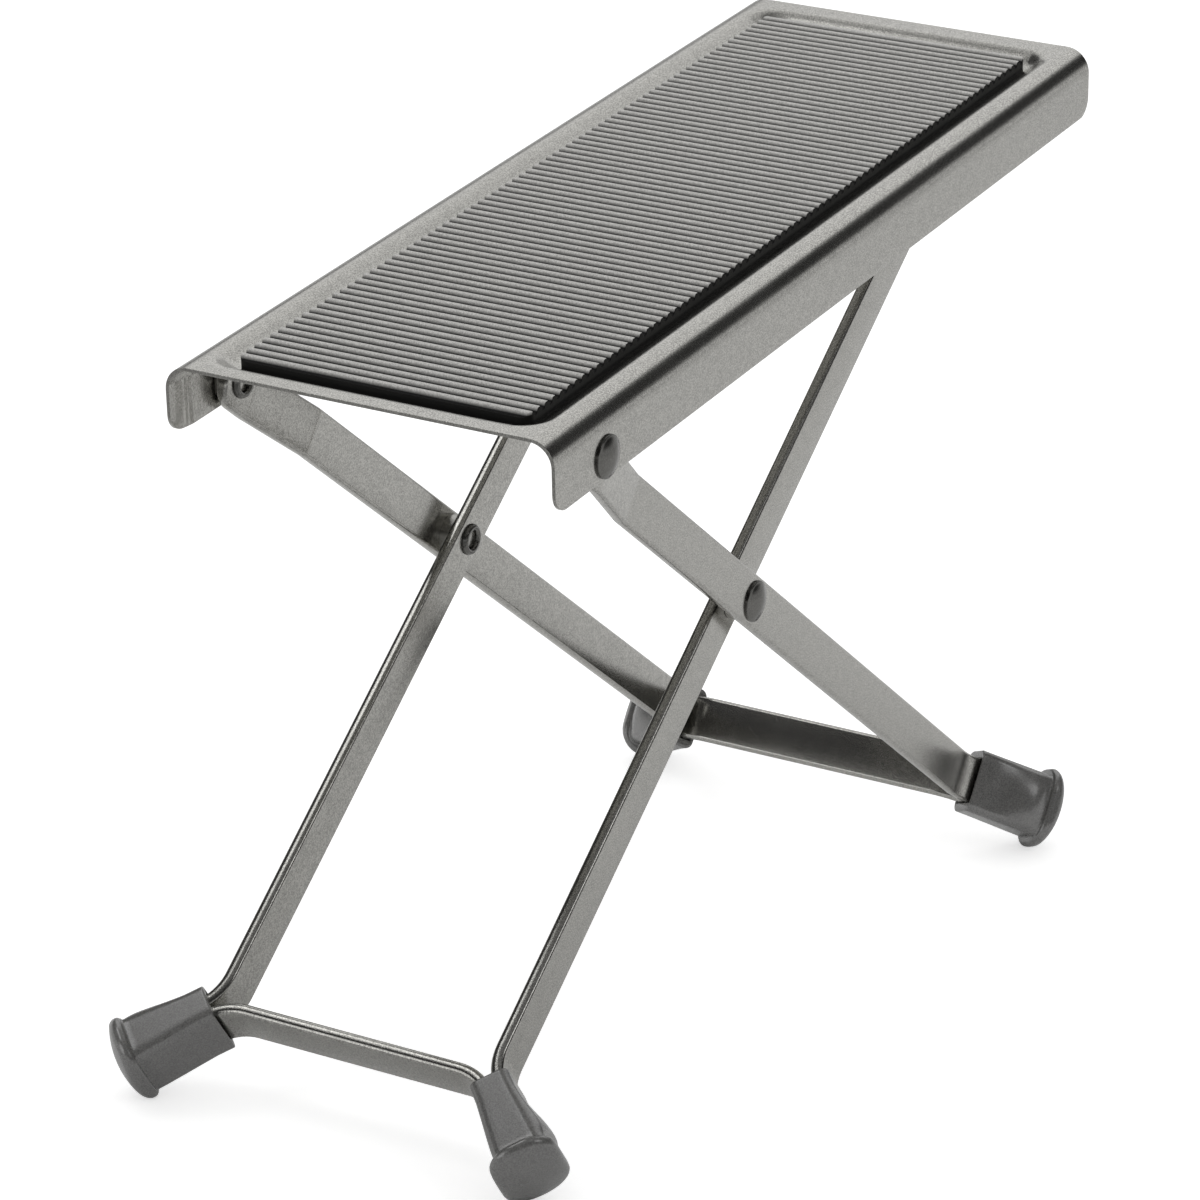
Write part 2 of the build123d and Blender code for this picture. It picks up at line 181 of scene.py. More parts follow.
tread_origin = joints["fold"] - to_row(PIVOT_ON_TREAD, TREAD_ANGLE, np.zeros(3))


def on_tread(points):
    return to_row(points, TREAD_ANGLE, tread_origin)


def on_outer_frame(points):
    return to_row(points, OUTER_ANGLE, joints["scissor"])


def on_inner_frame(points):
    return to_row(points, INNER_ANGLE, joints["scissor"])


# Meshes


def grid_quads(rows, columns, around=False):
    """Quads over a grid of points kept row by row. With around, the last column meets the first."""
    row = np.arange(rows - 1)[:, None]
    column = np.arange(columns if around else columns - 1)[None, :]
    beside = (column + 1) % columns
    corners = (row * columns + column, row * columns + beside)
    quads = np.stack((corners[0], corners[1], corners[1] + columns, corners[0] + columns), axis=-1)
    return quads.reshape(-1, 4)


def make_piece(name, points, quads, crease=35.0):
    """A mesh of quads with doubled points merged, faces outward and edges sharp past the crease."""
    mesh = bpy.data.meshes.new(name)
    mesh.vertices.add(len(points))
    mesh.vertices.foreach_set("co", np.asarray(points, np.float32).ravel())
    mesh.loops.add(quads.size)
    mesh.loops.foreach_set("vertex_index", quads.astype(np.int32).ravel())
    mesh.polygons.add(len(quads))
    mesh.polygons.foreach_set("loop_start", np.arange(0, quads.size, 4, dtype=np.int32))
    mesh.update(calc_edges=True)
    shape = bmesh.new()
    shape.from_mesh(mesh)
    bmesh.ops.remove_doubles(shape, verts=shape.verts, dist=MERGE_DISTANCE)
    bmesh.ops.recalc_face_normals(shape, faces=shape.faces)
    shape.to_mesh(mesh)
    shape.free()
    mesh.shade_smooth()
    mesh.set_sharp_from_angle(angle=radians(crease))
    piece = bpy.data.objects.new(name, mesh)
    bpy.context.scene.collection.objects.link(piece)
    return piece


def closed_loft(rings):
    """Rings of points, one after another, joined by quads, with each end drawn to its middle."""
    rings = np.asarray(rings)
    start = np.broadcast_to(rings[0].mean(axis=0), rings[0].shape)
    end = np.broadcast_to(rings[-1].mean(axis=0), rings[-1].shape)
    every = np.concatenate((start[None], rings, end[None]))
    return every.reshape(-1, 3), grid_quads(len(every), every.shape[1], around=True)


def paint(piece, material):
    piece.data.materials.clear()
    piece.data.materials.append(material)


def finish_piece(piece, body, slot, material, *stands_for):
    paint(piece, material)
    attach(piece, body)
    if stands_for:
        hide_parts(*stands_for)


# Profiles


def smooth(t):
    """0 below 0, 1 above 1, and 3t^2 - 2t^3 between."""
    t = np.clip(t, 0, 1)
    return t * t * (3 - 2 * t)


def rounded_box_ring(half_a, half_b, round_a, round_b, arc_steps=6, side_steps=1):
    """Points around a rectangle whose corners are quarter ellipses, counterclockwise in (a, b)."""
    turns = np.linspace(0, pi / 2, arc_steps) + np.arange(4)[:, None] * pi / 2
    signs = np.array(((1, 1), (-1, 1), (-1, -1), (1, -1)))
    a = signs[:, :1] * (half_a - round_a) + round_a * np.cos(turns)
    b = signs[:, 1:] * (half_b - round_b) + round_b * np.sin(turns)
    corners = np.stack((a, b), axis=-1)
    share = np.linspace(0, 1, side_steps + 1)[1:-1, None]
    sides = corners[:, -1:] + share * (np.roll(corners, -1, axis=0)[:, :1] - corners[:, -1:])
    return np.concatenate((corners, sides), axis=1).reshape(-1, 2)


def rounded_path(points, radii, arc_steps=10):
    """A polyline in the plane with a circular arc of the given radius at each inner corner."""
    points = [np.array(p, float) for p in points]
    path = [points[0]]
    for before, corner, after, radius in zip(points, points[1:], points[2:], radii):
        come = (corner - before) / np.linalg.norm(corner - before)
        go = (after - corner) / np.linalg.norm(after - corner)
        turn = np.arctan2(come[0] * go[1] - come[1] * go[0], come @ go)
        reach = radius * tan(abs(turn) / 2)
        side = np.sign(turn) * np.array((-come[1], come[0]))
        start = corner - come * reach
        t = np.linspace(0, abs(turn), arc_steps)[:, None]
        path.extend(start + radius * (np.sin(t) * come + (1 - np.cos(t)) * side))
    path.append(points[-1])
    return np.array(path)


# Frames: a flat bar's rounded section carried along its bent centre line


def half_path(half_width, reach, leg_points, leg_radii):
    """Down a leg, out along the ear at 45 degrees, round its tight fold, back and to the middle."""
    leg_y = half_width - BAR_THICKNESS / 2
    bar_x = reach - BAR_THICKNESS / 2
    offset = (BAR_THICKNESS + EAR_FOLD_GAP) / 2
    along = np.array((1, 1)) / sqrt(2)
    aside = np.array((-1, 1)) / sqrt(2)
    fold_middle = np.array((reach, half_width)) + along * (EAR_REACH - offset - BAR_THICKNESS / 2)
    leg_corner = (bar_x - sqrt(2) * offset, leg_y)
    bar_corner = (bar_x, leg_y - sqrt(2) * offset)
    fold_start = fold_middle + aside * offset
    fold_end = fold_middle - aside * offset
    leg = rounded_path([*leg_points, leg_corner, fold_start], [*leg_radii, EAR_BEND_RADIUS])
    t = np.linspace(0, pi, 17)[1:-1, None]
    fold = fold_middle + offset * (np.cos(t) * aside + np.sin(t) * along)
    bar = rounded_path([fold_end, bar_corner, (bar_x, 0.0)], [EAR_BEND_RADIUS])
    return np.concatenate((leg, fold, bar))


def frame_surface(half, hole_x):
    """The bar's section, square to the path, in each place. Past the hole's centre at each leg's
    end the section's half width is sqrt(r^2 - d^2), which rounds the end."""
    path = np.concatenate((half, (half * (1, -1))[::-1][1:]))
    step = np.gradient(path, axis=0)
    step /= np.linalg.norm(step, axis=1)[:, None]
    normal = np.stack((-step[:, 1], step[:, 0]), axis=1)
    past = np.clip(hole_x - path[:, 0], 0, BAR_WIDTH / 2)
    half_width = np.sqrt((BAR_WIDTH / 2) ** 2 - past**2)
    rings = []
    for place, out, half_b in zip(path, normal, half_width):
        crown = min(BAR_EDGE_CROWN, half_b)
        ring = rounded_box_ring(BAR_THICKNESS / 2, half_b, BAR_EDGE_ROUND, crown, arc_steps=8)
        flat = place + ring[:, :1] * out
        rings.append(np.concatenate((flat, ring[:, 1:]), axis=1))
    return closed_loft(rings)


def leg_end(hole_x, y):
    """Places along a leg's rounded end: its tip first, then closer steps where it curves most."""
    t = np.linspace(0, pi / 2, 12)[:-1]
    return [(hole_x - BAR_WIDTH / 2 * c, y) for c in np.cos(t) * LEG_TIP_SHARE]


def outer_frame_surface():
    top_y = PIVOT_HALF_WIDTH - BAR_THICKNESS / 2
    leg_y = OUTER_HALF_WIDTH - BAR_THICKNESS / 2
    joggle = -PIVOT_TO_CROSSING + JOGGLE_START
    tip = leg_end(-PIVOT_TO_CROSSING, top_y)
    points = [(-PIVOT_TO_CROSSING, top_y), (joggle, top_y), (joggle + JOGGLE_LENGTH, leg_y)]
    half = half_path(OUTER_HALF_WIDTH, CROSSING_TO_OUTER_BAR, points, [JOGGLE_RADIUS] * 2)
    return frame_surface(np.concatenate((tip, half)), -PIVOT_TO_CROSSING)


def inner_frame_surface():
    leg_y = INNER_HALF_WIDTH - BAR_THICKNESS / 2
    tip = leg_end(-CROSSING_TO_ROD, leg_y)
    half = half_path(INNER_HALF_WIDTH, CROSSING_TO_INNER_BAR, [(-CROSSING_TO_ROD, leg_y)], [])
    return frame_surface(np.concatenate((tip, half)), -CROSSING_TO_ROD)


# Tread: the flat blank with round corners, bent over both long edges, with the pan pressed in


def pan_depth(x, y):
    """Depth below the top face: full inside the mat's outline, zero past the wall's run."""
    middle = MAT_START + MAT_LENGTH / 2
    half_x = MAT_LENGTH / 2 + MAT_GAP
    half_y = MAT_WIDTH / 2 + MAT_GAP
    corner = MAT_CORNER_RADIUS + MAT_GAP
    out_x = np.abs(x - middle) - half_x + corner
    out_y = np.abs(y) - half_y + corner
    beyond = np.hypot(np.maximum(out_x, 0), np.maximum(out_y, 0))
    outside = beyond + np.minimum(np.maximum(out_x, out_y), 0) - corner
    return PAN_DEPTH * (1 - smooth(outside / PAN_WALL_RUN))


def spread(*stops):
    """Steadily spaced values between stops. Each stop is (value, steps to the next one)."""
    runs = [np.linspace(a, b, n, endpoint=False) for (a, n), (b, _) in zip(stops, stops[1:])]
    return np.concatenate((*runs, [stops[-1][0]]))


def tread_surface():
    """Across the blank: the top, a quarter circle of the bend radius, then the flange. Along it,
    the flange's run shortens as r - sqrt(r^2 - (r - x)^2) near each end, for the round corner."""
    flat_half = TREAD_WIDTH / 2 - BEND_RADIUS
    flange_run = FLANGE_DEPTH - BEND_RADIUS
    pan_in = MAT_WIDTH / 2 + MAT_GAP
    top = spread((0, 8), (pan_in - 1, 20), (flat_half, 0))
    t = np.linspace(0, pi / 2, 13)[1:]
    share = np.linspace(0, 1, 8)[1:]
    length = TREAD_LENGTH
    r = FLANGE_CORNER_RADIUS
    near = r * (1 - np.cos(np.linspace(0, pi / 2, 10)))
    pan_near, pan_far = MAT_START - MAT_GAP, MAT_START + MAT_LENGTH + MAT_GAP
    middle = spread((r, 20), (pan_near + 3, 60), (pan_far - 3, 22), (length - r, 0))
    x = np.concatenate((near[:-1], middle, length - near[::-1][1:]))
    end = np.minimum(np.minimum(x, length - x), r)
    run = flange_run - r + np.sqrt(r * r - (r - end) ** 2)
    flange_y = np.full(len(share), TREAD_WIDTH / 2)
    y = np.concatenate((top, flat_half + BEND_RADIUS * np.sin(t), flange_y))
    bend_z = np.concatenate((np.zeros(len(top)), -BEND_RADIUS * (1 - np.cos(t))))
    z = np.empty((len(x), len(y)))
    z[:, :len(bend_z)] = bend_z
    z[:, len(bend_z):] = -BEND_RADIUS - run[:, None] * share
    z -= pan_depth(x[:, None], y[None, :])
    side = np.stack((np.broadcast_to(x[:, None], z.shape), np.broadcast_to(y, z.shape), z), axis=-1)
    whole = np.concatenate(((side * (1, -1, 1))[:, :0:-1], side), axis=1)
    return whole.reshape(-1, 3), grid_quads(whole.shape[0], whole.shape[1])


def thin_ends(tread):
    """A vertex group with the sheet's share of its full thickness: less in the last millimetres
    at both ends, share = end + (1 - end) * s, where s goes from 0 to 1 in even levels."""
    places = np.empty(3 * len(tread.data.vertices))
    tread.data.vertices.foreach_get("co", places)
    along = on_tread((1, 0, 0)) - on_tread((0, 0, 0))
    x = (places.reshape(-1, 3) - tread_origin) @ along / MM**2
    from_end = np.minimum(x, TREAD_LENGTH - x)
    level = np.round(SHEET_END_LEVELS * smooth((from_end - SHEET_END_EDGE) / SHEET_END_RUN))
    group = tread.vertex_groups.new(name="thickness")
    for step in range(SHEET_END_LEVELS + 1):
        share = SHEET_END_SHARE + (1 - SHEET_END_SHARE) * step / SHEET_END_LEVELS
        group.add(np.nonzero(level == step)[0].tolist(), share, "REPLACE")


# Mat: one section across the mat, whose height follows the ribs and whose width the corners


def mat_surface():
    """Each ring is the mat's section at one place along it: flat below, with rounded top edges."""
    centres = MAT_START + (np.arange(RIB_COUNT) + 0.5) * RIB_PITCH
    x = np.concatenate(((centres[:, None] + RIB_STEPS).ravel(), [MAT_START + MAT_LENGTH]))
    corner = MAT_CORNER_RADIUS * (1 - np.cos(np.linspace(0, pi / 2, 12)))
    x = np.sort(np.concatenate((x, MAT_START + corner, MAT_START + MAT_LENGTH - corner)))
    from_rib = np.abs((x - MAT_START) % RIB_PITCH - RIB_PITCH / 2)
    slope = (RIB_FOOT_WIDTH / 2 - from_rib) / (RIB_FOOT_WIDTH / 2 - RIB_TOP_WIDTH / 2)
    blend = 0.5 * np.clip(slope, 0, 1) + 0.5 * smooth(slope)
    crown = RIB_CROWN * np.clip(1 - from_rib / (RIB_TOP_WIDTH / 2), 0, 1)
    height = MAT_PROUD - RIB_HEIGHT - crown.max() + RIB_HEIGHT * blend + crown
    radius = MAT_CORNER_RADIUS
    end = np.minimum(np.minimum(x - MAT_START, MAT_START + MAT_LENGTH - x), radius)
    inset = radius - np.sqrt(np.maximum(radius**2 - (radius - end) ** 2, 0))
    half = MAT_WIDTH / 2 - inset
    t = np.linspace(0, pi / 2, 5)
    r = MAT_EDGE_ROUND
    rows = []
    for place, top, reach in zip(x, height, half):
        wall = -PAN_DEPTH + (top + PAN_DEPTH - r) * np.array((0.3, 0.6, 0.9))
        edge_y, edge_z = reach - r + r * np.cos(t), top - r + r * np.sin(t)
        y = np.concatenate(([0, reach], np.full(3, reach), edge_y, [reach - 2, reach / 2, 0]))
        z = np.concatenate((np.full(2, -PAN_DEPTH), wall, edge_z, np.full(3, top)))
        ring = np.stack((np.full(len(y), place), y, z), axis=1)
        rows.append(np.concatenate((ring, (ring * (1, -1, 1))[-2:0:-1])))
    return closed_loft(rows)


# Feet: one skin from the bottom of the ear's pocket, out over the lip, along the sleeve to the cap


def foot_ring(x, a, b, corner):
    """A rounded rectangle of points, in half thickness a and half height b, at one place x."""
    ring = rounded_box_ring(a, b, corner, corner, FOOT_ARC_STEPS, FOOT_SIDE_STEPS)
    return np.concatenate((np.full((len(ring), 1), x), ring), axis=1)


def pocket_rings():
    """From the pocket's floor out along its walls, which flare, and round the lip."""
    pocket_a = BAR_THICKNESS + EAR_FOLD_GAP / 2 + POCKET_GAP
    pocket_b = BAR_WIDTH / 2 + POCKET_GAP
    mouth_a = FOOT_FLARE_WIDTH / 2
    wider = FOOT_THICKNESS / 2 - mouth_a
    higher = FOOT_HEIGHT / 2 - pocket_b
    rounder = FOOT_CORNER_RADIUS - FOOT_MOUTH_CORNER
    lip = FOOT_LIP_ROUND
    rings = [foot_ring(EAR_REACH + POCKET_GAP, pocket_a, pocket_b, FOOT_POCKET_CORNER),
             foot_ring(FOOT_MOUTH + FOOT_FLARE_DEPTH, pocket_a, pocket_b, FOOT_POCKET_CORNER),
             foot_ring(FOOT_MOUTH + lip, mouth_a - FOOT_LIP_WALL, pocket_b, FOOT_MOUTH_CORNER)]
    for t in np.linspace(0, pi, 9):
        share = (1 - cos(t)) / 2
        rings.append(foot_ring(FOOT_MOUTH + lip * (1 - sin(t)), mouth_a + wider * share,
                               pocket_b + higher * share, FOOT_MOUTH_CORNER + rounder * share))
    return rings


def sleeve_rings(side):
    """Along the sleeve, which widens past its shoulder, and round the hollow at its neck. The
    wide faces bulge by B sin^2(turn pi s) (1 - (z / b)^2), s from 0 to 1 between shoulder and
    neck. B is larger on the leg's side. Over the last part of s the bulge falls to half."""
    half_a, half_b = FOOT_THICKNESS / 2, FOOT_HEIGHT / 2
    neck_a = FOOT_NECK_THICKNESS / 2
    neck = FOOT_NECK - FOOT_NECK_ROUND
    corner = FOOT_CORNER_RADIUS
    straight = np.linspace(FOOT_SLEEVE_START, FOOT_SHOULDER, 5)
    places = [(x, half_a, half_b, corner) for x in straight]
    for t in np.linspace(0, 1, 12)[1:]:
        x = FOOT_SHOULDER + (neck - FOOT_SHOULDER) * t
        places.append((x, half_a + (neck_a - half_a) * t, half_b, corner))
    for t in np.linspace(0, pi / 2, 5)[1:]:
        out = FOOT_NECK_ROUND * (1 - cos(t))
        places.append((neck + FOOT_NECK_ROUND * sin(t), neck_a + out, half_b + out, corner + out))
    rings = []
    for x, a, b, corner in places:
        ring = foot_ring(x, a, b, corner)
        along = np.clip((x - FOOT_SHOULDER) / (neck - FOOT_SHOULDER), 0, 1)
        fall = smooth((along - 1 + FOOT_BULGE_END) / FOOT_BULGE_END)
        bulge = sin(FOOT_BULGE_TURN * pi * along) ** 2 * (1 - FOOT_BULGE_END_FALL * fall)
        bulge = bulge * np.where(ring[:, 1] * side > 0, FOOT_BULGE_BY_LEG, FOOT_BULGE_BY_BAR)
        ring[:, 1] *= 1 + bulge / a * (1 - (ring[:, 2] / b) ** 2)
        rings.append(ring)
    return rings


def cap_rings():
    """The cap's back edge, then its face x = top - R + sqrt(R^2 - a^2 - b^2), which falls by
    r - sqrt(r^2 - (r - d)^2) where a ring is d < r in from the outline, to round that edge."""
    half_a, half_b, edge = CAP_THICKNESS / 2, CAP_HEIGHT / 2, CAP_EDGE_ROUND
    rings = []
    for t in np.linspace(0, pi / 2, 7):
        inset = edge * (1 - sin(t))
        rings.append(foot_ring(FOOT_NECK + edge * (1 - cos(t)), half_a - inset, half_b - inset,
                               CAP_CORNER_RADIUS - inset))
    ball_middle = FOOT_NECK + CAP_RIM + CAP_DOME - BALL_RADIUS
    insets = [(edge * (1 - cos(t)), 1.0) for t in np.linspace(0, pi / 2, 9)]
    insets += [(edge, share) for share in np.linspace(1, 0.02, 12)[1:]]
    for inset, share in insets:
        ring = share * foot_ring(0, half_a - inset, half_b - inset, CAP_CORNER_RADIUS - inset)
        ring[:, 0] = ball_middle + np.sqrt(BALL_RADIUS**2 - (ring[:, 1:] ** 2).sum(axis=1))
        ring[:, 0] -= edge - sqrt(max(edge**2 - (edge - inset) ** 2, 0))
        rings.append(ring)
    return rings


def foot_surface(side):
    return closed_loft([*pocket_rings(), *sleeve_rings(side), *cap_rings()])


def foot_points(points, half_width, reach, side):
    """The foot's own x runs out along the ear, y lies in the frame's plane, z is square to it."""
    x_axis = np.array((1, side, 0)) / sqrt(2)
    y_axis = np.array((-side, 1, 0)) / sqrt(2)
    axes = np.stack((x_axis, y_axis, (0, 0, 1)))
    return points @ axes + np.array((reach, side * half_width, 0))


# Rivets: a turned profile


def turned(profile, steps=48):
    """A profile of (radius, height) points carried round the z axis."""
    t = np.linspace(0, 2 * pi, steps, endpoint=False)
    radius, height = np.array(profile).T
    points = np.stack((radius[:, None] * np.cos(t), radius[:, None] * np.sin(t),
                       np.broadcast_to(height[:, None], (len(radius), steps))), axis=-1)
    return points.reshape(-1, 3), grid_quads(len(radius), steps, around=True)


def arc(middle, radius, start, end, steps):
    """Points on a circle in the (radius, height) plane, from one angle in degrees to another."""
    t = np.radians(np.linspace(start, end, steps))
    return list(zip(middle[0] + radius * np.cos(t), middle[1] + radius * np.sin(t)))


def rivet_profile(grip):
    """From the crown's middle over the rounded rim, down the shank, round the roll, up the bore."""
    edge = RIVET_EDGE_ROUND
    radius = RIVET_HEAD_RADIUS
    rise = RIVET_HEAD_HEIGHT - RIVET_HEAD_RIM
    share = np.linspace(0, 1, 12)
    crown = [((radius - edge) * s, RIVET_HEAD_HEIGHT - rise * s * s) for s in share]
    rim = arc((radius - edge, RIVET_HEAD_RIM - edge), edge, 60, 0, 4)
    roll_middle = (RIVET_BORE_RADIUS + RIVET_ROLL_RADIUS) / 2
    half = (RIVET_ROLL_RADIUS - RIVET_BORE_RADIUS) / 2
    t = np.linspace(0, pi, 12)
    roll = [(roll_middle + half * cos(a), -grip - RIVET_ROLL_HEIGHT * sin(a)) for a in t]
    floor = -grip - RIVET_ROLL_HEIGHT + RIVET_BORE_DEPTH
    shank = [(radius, 0.0), (RIVET_RADIUS, 0.0), (RIVET_RADIUS, -grip)]
    return [*crown, *rim, *shank, *roll, (RIVET_BORE_RADIUS, floor), (0.0, floor)]


def rivet_points(points, y, side):
    """The rivet's own z axis points outward along side * Y, with its head's underside at y."""
    x, across, out = np.asarray(points).T
    return np.stack((x * side, side * (y + out), across), axis=1)


# Materials. Noise scales are per metre and the dents' depth is in metres. The ribs' crests and
# grooves are told apart by their depth below the ribs' tops, in millimetres.

STEEL_TINT = np.array((1.0, 0.985, 0.93))
STEEL_TONES = (0.72, 1.28)
RUBBER_TINT = np.array((1.0, 0.985, 0.95))
RUBBER_TONES = (0.7, 1.3)
GRAIN_SCALE = 2600.0
PATCH_SCALE = 42.0
MOTTLE_SCALE = 420.0
MOTTLE_SHARE = 0.16
DENT_DEPTH = 0.0002
# Painted light and shade on the mat: its rib crests are painted a lit grey as if lit from above,
# and its grooves and the band along its sides are painted near black as shade.
LIT_CREST_LEVEL = 0.57
CREST_BELOW_TOP = 0.15 * RIB_HEIGHT
GROOVE_BELOW_TOP = 0.84 * RIB_HEIGHT
GROOVE_SHADE_COLOR = (0.008, 0.0078, 0.0075, 1)
MAT_SIDE_SHADE_BAND = 0.1


def set_inputs(node, values):
    for socket, value in values.items():
        node.inputs[socket].default_value = value


def new_group(name, inputs, outputs):
    """A node group of values, with its input and output nodes."""
    group = bpy.data.node_groups.new(name, "ShaderNodeTree")
    kind = "NodeSocketFloat"
    for socket, value in inputs.items():
        added = group.interface.new_socket(name=socket, in_out="INPUT", socket_type=kind)
        added.default_value = value
    for socket in outputs:
        group.interface.new_socket(name=socket, in_out="OUTPUT", socket_type=kind)
    return group, group.nodes.new("NodeGroupInput"), group.nodes.new("NodeGroupOutput")


def math_node(tree, operation, *values):
    """A math node. Each value is a number or another node's socket."""
    node = tree.nodes.new("ShaderNodeMath")
    node.operation = operation
    for socket, value in zip(node.inputs, values):
        if isinstance(value, (int, float)):
            socket.default_value = value
        else:
            tree.links.new(value, socket)
    return node.outputs[0]


def step_node(tree, value, start, end, low, high):
    """A smooth step of a socket's value, from low at start to high at end."""
    step = tree.nodes.new("ShaderNodeMapRange")
    step.interpolation_type = "SMOOTHSTEP"
    set_inputs(step, {"From Min": start, "From Max": end, "To Min": low, "To Max": high})
    tree.links.new(value, step.inputs["Value"])
    return step.outputs["Result"]


def noise_node(tree, place, scale, detail=3.0):
    """Noise on a place, 0 to 1."""
    noise = tree.nodes.new("ShaderNodeTexNoise")
    set_inputs(noise, {"Scale": scale, "Detail": detail})
    tree.links.new(place, noise.inputs["Vector"])
    return noise.outputs["Fac"]


def grain_group():
    """A satin surface on Object coordinates. Height = fine grain. Roughness = its input + soft
    patches. Tone = 0.5 + grain and mottling, to mix a dark and a light colour with."""
    settings = {"Roughness": 0.4, "Variation": 0.1, "Contrast": 1.0}
    group, inputs, outputs = new_group("satin grain", settings, ("Height", "Roughness", "Tone"))
    place = group.nodes.new("ShaderNodeTexCoord").outputs["Object"]
    setting = inputs.outputs
    fine = noise_node(group, place, GRAIN_SCALE)
    patches = noise_node(group, place, PATCH_SCALE, detail=4.0)
    mottle = noise_node(group, place, MOTTLE_SCALE)
    rough = math_node(group, "SUBTRACT", patches, 0.5)
    rough = math_node(group, "MULTIPLY_ADD", rough, setting["Variation"], setting["Roughness"])
    tone = math_node(group, "MULTIPLY_ADD", mottle, MOTTLE_SHARE, fine)
    tone = math_node(group, "SUBTRACT", tone, 0.5 * (1 + MOTTLE_SHARE))
    tone = math_node(group, "MULTIPLY_ADD", tone, setting["Contrast"], 0.5)
    group.links.new(fine, outputs.inputs["Height"])
    group.links.new(rough, outputs.inputs["Roughness"])
    group.links.new(tone, outputs.inputs["Tone"])
    return group


def crest_light_group():
    """Mask of painted light and shade, from Object coordinates: 1 on the ribs' crests, which are
    painted a lit grey as if lit from above, and 0 in the grooves and on the mat's sides, which are
    painted near black as shade.
    Height over the sheet's top face = normal . place - offset."""
    settings = {"Groove": MAT_PROUD - GROOVE_BELOW_TOP, "Crest": MAT_PROUD - CREST_BELOW_TOP}
    group, inputs, outputs = new_group("rib crests", settings, ("Mask",))
    place = group.nodes.new("ShaderNodeTexCoord").outputs["Object"]
    upward = on_tread((0, 0, 1)) - on_tread((0, 0, 0))
    rise = group.nodes.new("ShaderNodeVectorMath")
    rise.operation = "DOT_PRODUCT"
    rise.inputs[1].default_value = upward / MM**2
    group.links.new(place, rise.inputs[0])
    offset = float(upward @ tread_origin) / MM**2
    height = math_node(group, "SUBTRACT", rise.outputs["Value"], offset)
    crest = group.nodes.new("ShaderNodeMapRange")
    group.links.new(height, crest.inputs["Value"])
    group.links.new(inputs.outputs["Groove"], crest.inputs["From Min"])
    group.links.new(inputs.outputs["Crest"], crest.inputs["From Max"])
    across = group.nodes.new("ShaderNodeSeparateXYZ")
    group.links.new(place, across.inputs[0])
    aside = math_node(group, "ABSOLUTE", across.outputs["Y"])
    inside = math_node(group, "LESS_THAN", aside, (MAT_WIDTH / 2 - MAT_SIDE_SHADE_BAND) * MM)
    group.links.new(math_node(group, "MULTIPLY", crest.outputs[0], inside), outputs.inputs["Mask"])
    return group


satin_grain = grain_group()
crest_light_mask = crest_light_group()


def grained(name, color, tones, roughness, variation=0.1, bump=0.05, contrast=1.0):
    """A surface whose colour goes between two multiples of one colour with the grain's tone."""
    material = bpy.data.materials.new(name)
    material.use_nodes = True
    tree = material.node_tree
    surface = tree.nodes["Principled BSDF"]
    grain = tree.nodes.new("ShaderNodeGroup")
    grain.node_tree = satin_grain
    set_inputs(grain, {"Roughness": roughness, "Variation": variation, "Contrast": contrast})
    toned = tree.nodes.new("ShaderNodeMix")
    toned.name = "toned"
    toned.data_type = "RGBA"
    dark, light = tones
    set_inputs(toned, {"A": (*color * dark, 1), "B": (*color * light, 1)})
    dents = tree.nodes.new("ShaderNodeBump")
    set_inputs(dents, {"Strength": bump, "Distance": DENT_DEPTH})
    tree.links.new(grain.outputs["Tone"], toned.inputs["Factor"])
    tree.links.new(toned.outputs["Result"], surface.inputs["Base Color"])
    tree.links.new(grain.outputs["Roughness"], surface.inputs["Roughness"])
    tree.links.new(grain.outputs["Height"], dents.inputs["Height"])
    tree.links.new(dents.outputs["Normal"], surface.inputs["Normal"])
    return material


def steel(name, level, roughness, **grain):
    material = grained(name, STEEL_TINT * level, STEEL_TONES, roughness, **grain)
    material.node_tree.nodes["Principled BSDF"].inputs["Metallic"].default_value = 1.0
    return material


def rubber(name, level, roughness, **grain):
    return grained(name, RUBBER_TINT * level, RUBBER_TONES, roughness, **grain)


def ribbed_rubber():
    """Black rubber with painted light and shade: the rib crests are painted a lit grey as if lit
    from above, and the grooves and sides are painted near black as shade.
    """
    material = rubber("ribbed mat rubber", LIT_CREST_LEVEL, 0.5, variation=0.2, bump=0.2, contrast=2.2)
    tree = material.node_tree
    crests = tree.nodes.new("ShaderNodeGroup")
    crests.node_tree = crest_light_mask
    # Painted light and shade: a lit grey on the crests, and near black in the grooves and on the
    # sides.
    crest_shading = tree.nodes.new("ShaderNodeMix")
    crest_shading.data_type = "RGBA"
    crest_shading.inputs["A"].default_value = GROOVE_SHADE_COLOR
    tree.links.new(crests.outputs["Mask"], crest_shading.inputs["Factor"])
    tree.links.new(tree.nodes["toned"].outputs["Result"], crest_shading.inputs["B"])
    surface = tree.nodes["Principled BSDF"]
    surface.inputs["Specular IOR Level"].default_value = 0.25
    tree.links.new(crest_shading.outputs["Result"], surface.inputs["Base Color"])
    return material


def moulded_rubber():
    """Dark rubber with the skin of its mould, which shines through a thin clear coat."""
    material = rubber("moulded foot rubber", 0.13, 0.26, variation=0.15, bump=0.2, contrast=3.0)
    set_inputs(material.node_tree.nodes["Principled BSDF"], {
        "Specular IOR Level": 1.0, "Coat Weight": 0.6, "Coat Roughness": 0.2, "Coat IOR": 1.9})
    return material


tread_steel = steel("satin plated sheet", 0.45, 0.23, contrast=3.4, bump=0.05)
frame_steel = steel("satin plated flat bar", 0.45, 0.21, contrast=3.6, bump=0.04)
rivet_steel = steel("bright rivet", 0.17, 0.2, contrast=1.5)
rod_steel = steel("drawn rod", 0.45, 0.25)
washer_steel = steel("zinc washer", 0.45, 0.32)
mat_rubber = ribbed_rubber()
foot_rubber = moulded_rubber()

# Pieces

